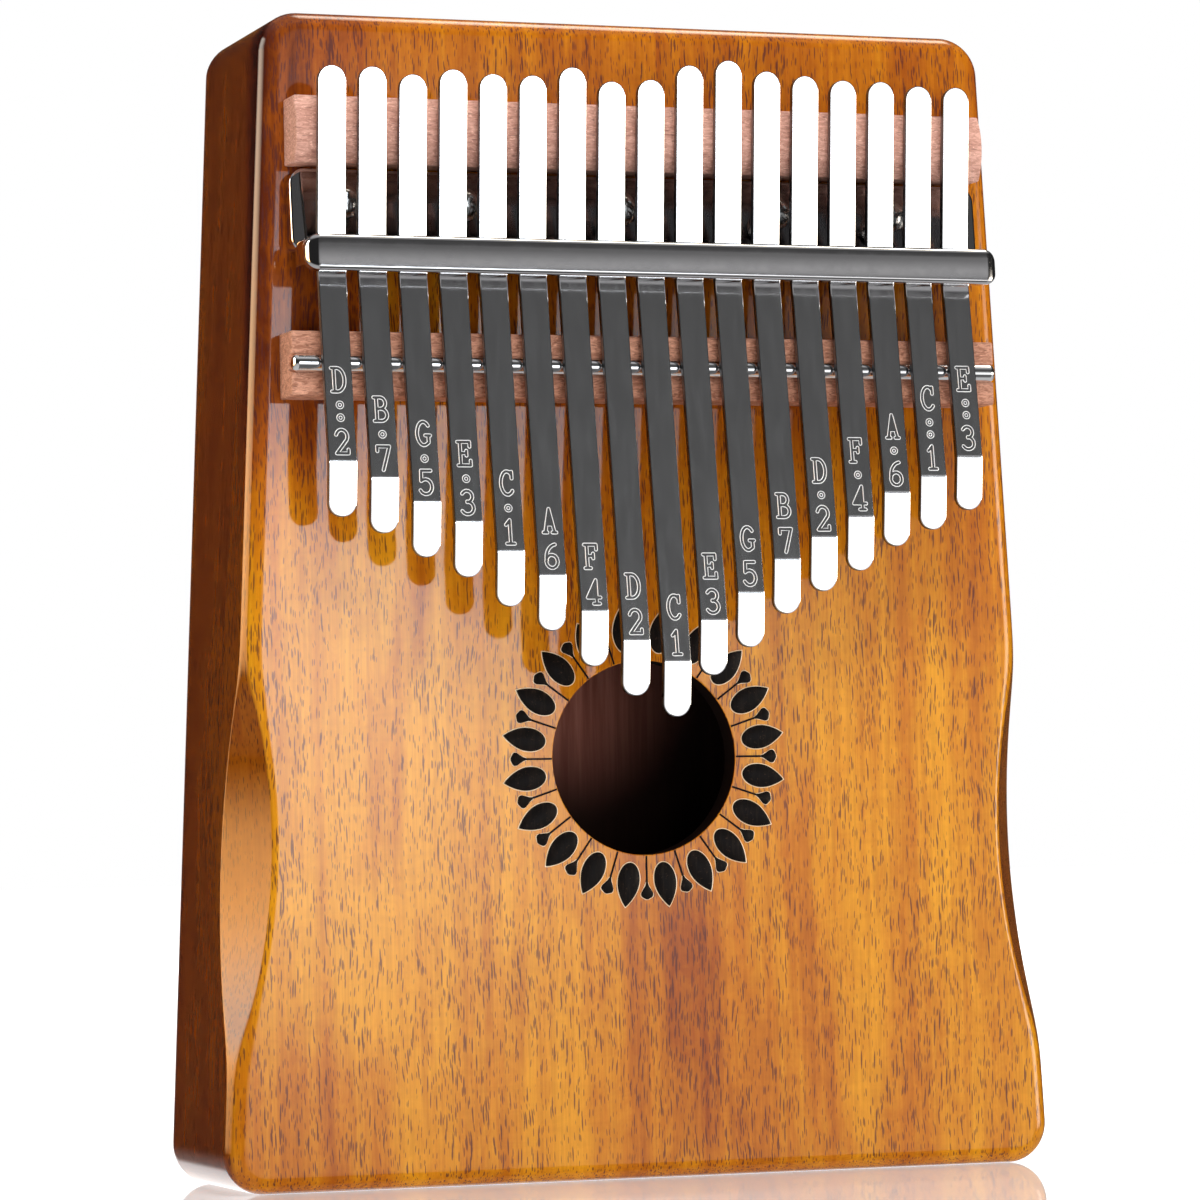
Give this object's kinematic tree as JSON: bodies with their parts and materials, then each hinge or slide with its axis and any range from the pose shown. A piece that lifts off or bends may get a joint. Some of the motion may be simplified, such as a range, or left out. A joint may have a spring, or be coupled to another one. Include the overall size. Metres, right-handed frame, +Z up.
{
  "type": "box kalimba",
  "caption": "Wooden box thumb piano with a row of steel tines held by a chromed bar between two bridges, above a round sound hole.",
  "frame": {"origin": "centre of the flat bottom end that it stands on, halfway between the front and back faces", "axes": "+Z up the body towards the tines' rear ends, +Y from the front face with the tines to the back face, +X to the right as seen from the front"},
  "size_m": [0.1394, 0.052, 0.185],
  "materials": {
    "koa": "gloss lacquered koa, amber with dark streaks",
    "back_wood": "satin lacquered dark reddish brown wood",
    "inlay_black": "black film with a cream outline, under the lacquer",
    "bridge_wood": "bare reddish brown hardwood",
    "front_bridge_wood": "bare light reddish hardwood",
    "clamp_chrome": "dark mirror chrome plating",
    "screw_steel": "black-chromed steel",
    "rod_steel": "polished steel",
    "tine_steel": "mirror polished spring steel, engraved"
  },
  "bodies": {
    "box": {"soundbox": "koa", "back_plate": "back_wood", "rosette": "inlay_black", "rear_bridge": "bridge_wood", "tine_clamp": "clamp_chrome", "clamp_screws": "screw_steel", "front_bridge": "front_bridge_wood", "bridge_rod": "rod_steel"},
    "tine_01": {"tine_01_shank": "tine_steel"},
    "tine_01_free_end": {"tine_01_tongue": "tine_steel"},
    "tine_02": {"tine_02_shank": "tine_steel"},
    "tine_02_free_end": {"tine_02_tongue": "tine_steel"},
    "tine_03": {"tine_03_shank": "tine_steel"},
    "tine_03_free_end": {"tine_03_tongue": "tine_steel"},
    "tine_04": {"tine_04_shank": "tine_steel"},
    "tine_04_free_end": {"tine_04_tongue": "tine_steel"},
    "tine_05": {"tine_05_shank": "tine_steel"},
    "tine_05_free_end": {"tine_05_tongue": "tine_steel"},
    "tine_06": {"tine_06_shank": "tine_steel"},
    "tine_06_free_end": {"tine_06_tongue": "tine_steel"},
    "tine_07": {"tine_07_shank": "tine_steel"},
    "tine_07_free_end": {"tine_07_tongue": "tine_steel"},
    "tine_08": {"tine_08_shank": "tine_steel"},
    "tine_08_free_end": {"tine_08_tongue": "tine_steel"},
    "tine_09": {"tine_09_shank": "tine_steel"},
    "tine_09_free_end": {"tine_09_tongue": "tine_steel"},
    "tine_10": {"tine_10_shank": "tine_steel"},
    "tine_10_free_end": {"tine_10_tongue": "tine_steel"},
    "tine_11": {"tine_11_shank": "tine_steel"},
    "tine_11_free_end": {"tine_11_tongue": "tine_steel"},
    "tine_12": {"tine_12_shank": "tine_steel"},
    "tine_12_free_end": {"tine_12_tongue": "tine_steel"},
    "tine_13": {"tine_13_shank": "tine_steel"},
    "tine_13_free_end": {"tine_13_tongue": "tine_steel"},
    "tine_14": {"tine_14_shank": "tine_steel"},
    "tine_14_free_end": {"tine_14_tongue": "tine_steel"},
    "tine_15": {"tine_15_shank": "tine_steel"},
    "tine_15_free_end": {"tine_15_tongue": "tine_steel"},
    "tine_16": {"tine_16_shank": "tine_steel"},
    "tine_16_free_end": {"tine_16_tongue": "tine_steel"},
    "tine_17": {"tine_17_shank": "tine_steel"},
    "tine_17_free_end": {"tine_17_tongue": "tine_steel"}
  },
  "joints": [
    {"name": "tune_tine_01", "type": "slide", "parent": "box", "child": "tine_01", "axis": [0, 0, 1], "range_m": [-0.0015, 0.0015]},
    {"name": "pluck_tine_01", "type": "hinge", "parent": "tine_01", "child": "tine_01_free_end", "pos_m": [-0.0528, -0.0246, 0.1287], "axis": [1, 0, 0], "range_deg": [-4, 4], "stiffness_Nm_per_rad": 9.33},
    {"name": "tune_tine_02", "type": "slide", "parent": "box", "child": "tine_02", "axis": [0, 0, 1], "range_m": [-0.0015, 0.0015]},
    {"name": "pluck_tine_02", "type": "hinge", "parent": "tine_02", "child": "tine_02_free_end", "pos_m": [-0.0462, -0.0246, 0.1287], "axis": [1, 0, 0], "range_deg": [-4, 4], "stiffness_Nm_per_rad": 8.44},
    {"name": "tune_tine_03", "type": "slide", "parent": "box", "child": "tine_03", "axis": [0, 0, 1], "range_m": [-0.0015, 0.0015]},
    {"name": "pluck_tine_03", "type": "hinge", "parent": "tine_03", "child": "tine_03_free_end", "pos_m": [-0.0396, -0.0246, 0.1287], "axis": [1, 0, 0], "range_deg": [-4, 4], "stiffness_Nm_per_rad": 7.39},
    {"name": "tune_tine_04", "type": "slide", "parent": "box", "child": "tine_04", "axis": [0, 0, 1], "range_m": [-0.0015, 0.0015]},
    {"name": "pluck_tine_04", "type": "hinge", "parent": "tine_04", "child": "tine_04_free_end", "pos_m": [-0.033, -0.0246, 0.1287], "axis": [1, 0, 0], "range_deg": [-4, 4], "stiffness_Nm_per_rad": 6.71},
    {"name": "tune_tine_05", "type": "slide", "parent": "box", "child": "tine_05", "axis": [0, 0, 1], "range_m": [-0.0015, 0.0015]},
    {"name": "pluck_tine_05", "type": "hinge", "parent": "tine_05", "child": "tine_05_free_end", "pos_m": [-0.0264, -0.0246, 0.1287], "axis": [1, 0, 0], "range_deg": [-4, 4], "stiffness_Nm_per_rad": 5.9},
    {"name": "tune_tine_06", "type": "slide", "parent": "box", "child": "tine_06", "axis": [0, 0, 1], "range_m": [-0.0015, 0.0015]},
    {"name": "pluck_tine_06", "type": "hinge", "parent": "tine_06", "child": "tine_06_free_end", "pos_m": [-0.0198, -0.0246, 0.1287], "axis": [1, 0, 0], "range_deg": [-4, 4], "stiffness_Nm_per_rad": 5.36},
    {"name": "tune_tine_07", "type": "slide", "parent": "box", "child": "tine_07", "axis": [0, 0, 1], "range_m": [-0.0015, 0.0015]},
    {"name": "pluck_tine_07", "type": "hinge", "parent": "tine_07", "child": "tine_07_free_end", "pos_m": [-0.0132, -0.0246, 0.1287], "axis": [1, 0, 0], "range_deg": [-4, 4], "stiffness_Nm_per_rad": 4.73},
    {"name": "tune_tine_08", "type": "slide", "parent": "box", "child": "tine_08", "axis": [0, 0, 1], "range_m": [-0.0015, 0.0015]},
    {"name": "pluck_tine_08", "type": "hinge", "parent": "tine_08", "child": "tine_08_free_end", "pos_m": [-0.0066, -0.0246, 0.1287], "axis": [1, 0, 0], "range_deg": [-4, 4], "stiffness_Nm_per_rad": 4.31},
    {"name": "tune_tine_09", "type": "slide", "parent": "box", "child": "tine_09", "axis": [0, 0, 1], "range_m": [-0.0015, 0.0015]},
    {"name": "pluck_tine_09", "type": "hinge", "parent": "tine_09", "child": "tine_09_free_end", "pos_m": [0, -0.0246, 0.1287], "axis": [1, 0, 0], "range_deg": [-4, 4], "stiffness_Nm_per_rad": 4.05},
    {"name": "tune_tine_10", "type": "slide", "parent": "box", "child": "tine_10", "axis": [0, 0, 1], "range_m": [-0.0015, 0.0015]},
    {"name": "pluck_tine_10", "type": "hinge", "parent": "tine_10", "child": "tine_10_free_end", "pos_m": [0.0066, -0.0246, 0.1287], "axis": [1, 0, 0], "range_deg": [-4, 4], "stiffness_Nm_per_rad": 4.58},
    {"name": "tune_tine_11", "type": "slide", "parent": "box", "child": "tine_11", "axis": [0, 0, 1], "range_m": [-0.0015, 0.0015]},
    {"name": "pluck_tine_11", "type": "hinge", "parent": "tine_11", "child": "tine_11_free_end", "pos_m": [0.0132, -0.0246, 0.1287], "axis": [1, 0, 0], "range_deg": [-4, 4], "stiffness_Nm_per_rad": 5.03},
    {"name": "tune_tine_12", "type": "slide", "parent": "box", "child": "tine_12", "axis": [0, 0, 1], "range_m": [-0.0015, 0.0015]},
    {"name": "pluck_tine_12", "type": "hinge", "parent": "tine_12", "child": "tine_12_free_end", "pos_m": [0.0198, -0.0246, 0.1287], "axis": [1, 0, 0], "range_deg": [-4, 4], "stiffness_Nm_per_rad": 5.71},
    {"name": "tune_tine_13", "type": "slide", "parent": "box", "child": "tine_13", "axis": [0, 0, 1], "range_m": [-0.0015, 0.0015]},
    {"name": "pluck_tine_13", "type": "hinge", "parent": "tine_13", "child": "tine_13_free_end", "pos_m": [0.0264, -0.0246, 0.1287], "axis": [1, 0, 0], "range_deg": [-4, 4], "stiffness_Nm_per_rad": 6.29},
    {"name": "tune_tine_14", "type": "slide", "parent": "box", "child": "tine_14", "axis": [0, 0, 1], "range_m": [-0.0015, 0.0015]},
    {"name": "pluck_tine_14", "type": "hinge", "parent": "tine_14", "child": "tine_14_free_end", "pos_m": [0.033, -0.0246, 0.1287], "axis": [1, 0, 0], "range_deg": [-4, 4], "stiffness_Nm_per_rad": 6.93},
    {"name": "tune_tine_15", "type": "slide", "parent": "box", "child": "tine_15", "axis": [0, 0, 1], "range_m": [-0.0015, 0.0015]},
    {"name": "pluck_tine_15", "type": "hinge", "parent": "tine_15", "child": "tine_15_free_end", "pos_m": [0.0396, -0.0246, 0.1287], "axis": [1, 0, 0], "range_deg": [-4, 4], "stiffness_Nm_per_rad": 7.9},
    {"name": "tune_tine_16", "type": "slide", "parent": "box", "child": "tine_16", "axis": [0, 0, 1], "range_m": [-0.0015, 0.0015]},
    {"name": "pluck_tine_16", "type": "hinge", "parent": "tine_16", "child": "tine_16_free_end", "pos_m": [0.0462, -0.0246, 0.1287], "axis": [1, 0, 0], "range_deg": [-4, 4], "stiffness_Nm_per_rad": 8.72},
    {"name": "tune_tine_17", "type": "slide", "parent": "box", "child": "tine_17", "axis": [0, 0, 1], "range_m": [-0.0015, 0.0015]},
    {"name": "pluck_tine_17", "type": "hinge", "parent": "tine_17", "child": "tine_17_free_end", "pos_m": [0.0528, -0.0246, 0.1287], "axis": [1, 0, 0], "range_deg": [-4, 4], "stiffness_Nm_per_rad": 9.98}
  ]
}
